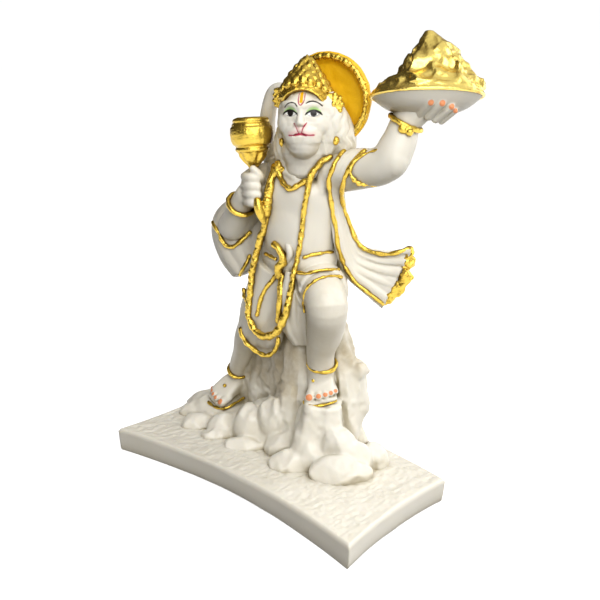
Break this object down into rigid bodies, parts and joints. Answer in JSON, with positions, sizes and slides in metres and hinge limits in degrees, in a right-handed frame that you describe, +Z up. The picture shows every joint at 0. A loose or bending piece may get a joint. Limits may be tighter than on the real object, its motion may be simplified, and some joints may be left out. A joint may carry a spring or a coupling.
{
  "type": "hanuman figure",
  "caption": "Cast resin figure of Hanuman striding on stones over a bowed slab, mace on the right shoulder, herb mountain raised on the left palm.",
  "frame": {"origin": "middle of the slab's flat underside, halfway between its end corners and between its front and back corners", "axes": "+Z up, the slab's long inward-bowed front faces -Y, and the figure's left hand with the mountain is towards +X"},
  "size_m": [0.1112, 0.0632, 0.1481],
  "materials": {
    "white_resin": "satin cast marble-dust resin",
    "gold_paint": "metallic gold paint, brushed on"
  },
  "bodies": {
    "root": {"hanuman_on_slab": "white_resin"}
  },
  "joints": []
}
